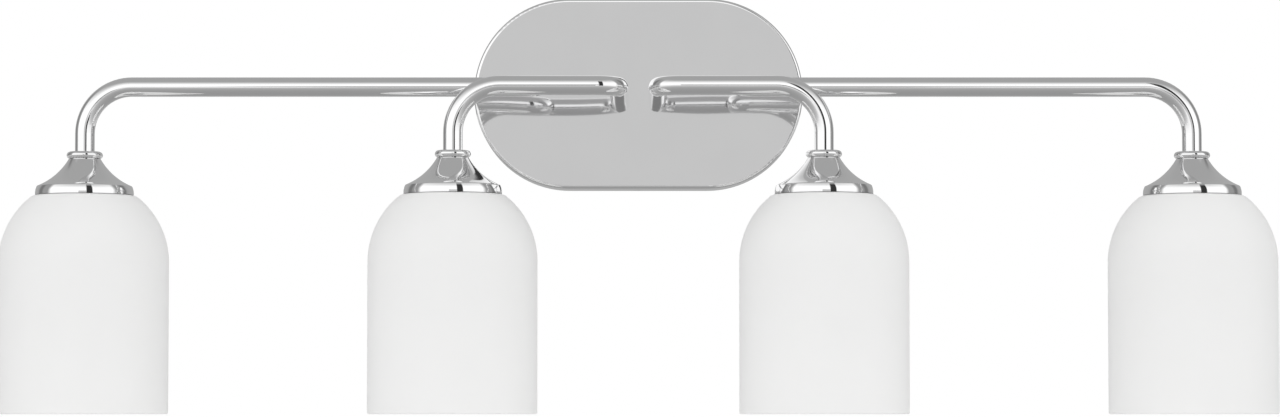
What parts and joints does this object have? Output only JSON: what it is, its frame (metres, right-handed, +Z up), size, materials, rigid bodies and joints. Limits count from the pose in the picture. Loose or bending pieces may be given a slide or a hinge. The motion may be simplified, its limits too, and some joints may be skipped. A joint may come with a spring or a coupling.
{
  "type": "vanity light bar",
  "caption": "Wall light bar for over a bathroom mirror: pill-shaped chrome backplate, bent tube arms in a row and opal glass bell shades that point down.",
  "frame": {"origin": "centre of the backplate on the wall, midway between the bracket's slots", "axes": "+Z up, +X to the right of someone who faces the wall, +Y into the wall, so the light stands out towards -Y"},
  "size_m": [0.7904, 0.1572, 0.2647],
  "materials": {
    "polished_chrome": "polished chrome plate",
    "zinc_steel": "zinc-plated steel",
    "opal_glass": "white opal glass, etched satin outside",
    "bulb_glass": "frosted white",
    "black_glass": "black vitrite glass",
    "bulb_cap": "rolled aluminium",
    "solder": "solder blob",
    "socket_plastic": "moulded white thermoset",
    "ring_plastic": "moulded white",
    "brass": "bright brass strip",
    "gasket_rubber": "white silicone rubber",
    "black_insulation": "extruded insulation",
    "white_insulation": "extruded insulation",
    "bare_copper": "bare copper",
    "connector_plastic": "moulded orange",
    "green_screw": "green dyed steel",
    "tinned_copper": "tinned"
  },
  "bodies": {
    "fixture": {"arm_inner_left": "polished_chrome", "arm_inner_right": "polished_chrome", "arm_nuts": "zinc_steel", "arm_outer_left": "polished_chrome", "arm_outer_right": "polished_chrome", "arm_washers": "zinc_steel", "backplate": "polished_chrome", "black_leads": "black_insulation", "center_contacts": "brass", "ground_lug": "tinned_copper", "ground_screw": "green_screw", "ground_wire": "bare_copper", "holder_inner_left": "polished_chrome", "holder_inner_right": "polished_chrome", "holder_outer_left": "polished_chrome", "holder_outer_right": "polished_chrome", "nipple_nuts": "zinc_steel", "nipples": "zinc_steel", "set_screws": "zinc_steel", "shade_gaskets": "gasket_rubber", "shade_inner_left": "opal_glass", "shade_inner_right": "opal_glass", "shade_outer_left": "opal_glass", "shade_outer_right": "opal_glass", "shade_ring_inner_left": "ring_plastic", "shade_ring_inner_right": "ring_plastic", "shade_ring_outer_left": "ring_plastic", "shade_ring_outer_right": "ring_plastic", "socket_body_inner_left": "socket_plastic", "socket_body_inner_right": "socket_plastic", "socket_body_outer_left": "socket_plastic", "socket_body_outer_right": "socket_plastic", "socket_shell_inner_left": "brass", "socket_shell_inner_right": "brass", "socket_shell_outer_left": "brass", "socket_shell_outer_right": "brass", "stiffener_plate": "zinc_steel", "tube_collars": "polished_chrome", "wall_bracket": "zinc_steel", "white_leads": "white_insulation", "wire_nuts": "connector_plastic"},
    "bulb_outer_left": {"bulb_base_outer_left": "bulb_cap", "bulb_glass_outer_left": "bulb_glass", "bulb_insulator_outer_left": "black_glass", "bulb_tip_outer_left": "solder"},
    "bulb_inner_left": {"bulb_base_inner_left": "bulb_cap", "bulb_glass_inner_left": "bulb_glass", "bulb_insulator_inner_left": "black_glass", "bulb_tip_inner_left": "solder"},
    "bulb_inner_right": {"bulb_base_inner_right": "bulb_cap", "bulb_glass_inner_right": "bulb_glass", "bulb_insulator_inner_right": "black_glass", "bulb_tip_inner_right": "solder"},
    "bulb_outer_right": {"bulb_base_outer_right": "bulb_cap", "bulb_glass_outer_right": "bulb_glass", "bulb_insulator_outer_right": "black_glass", "bulb_tip_outer_right": "solder"}
  },
  "joints": [
    {"name": "bulb_draw_outer_left", "type": "slide", "parent": "fixture", "child": "bulb_outer_left", "axis": [0, 0, -1], "range_m": [0, 0.14]},
    {"name": "bulb_draw_inner_left", "type": "slide", "parent": "fixture", "child": "bulb_inner_left", "axis": [0, 0, -1], "range_m": [0, 0.14]},
    {"name": "bulb_draw_inner_right", "type": "slide", "parent": "fixture", "child": "bulb_inner_right", "axis": [0, 0, -1], "range_m": [0, 0.14]},
    {"name": "bulb_draw_outer_right", "type": "slide", "parent": "fixture", "child": "bulb_outer_right", "axis": [0, 0, -1], "range_m": [0, 0.14]}
  ]
}
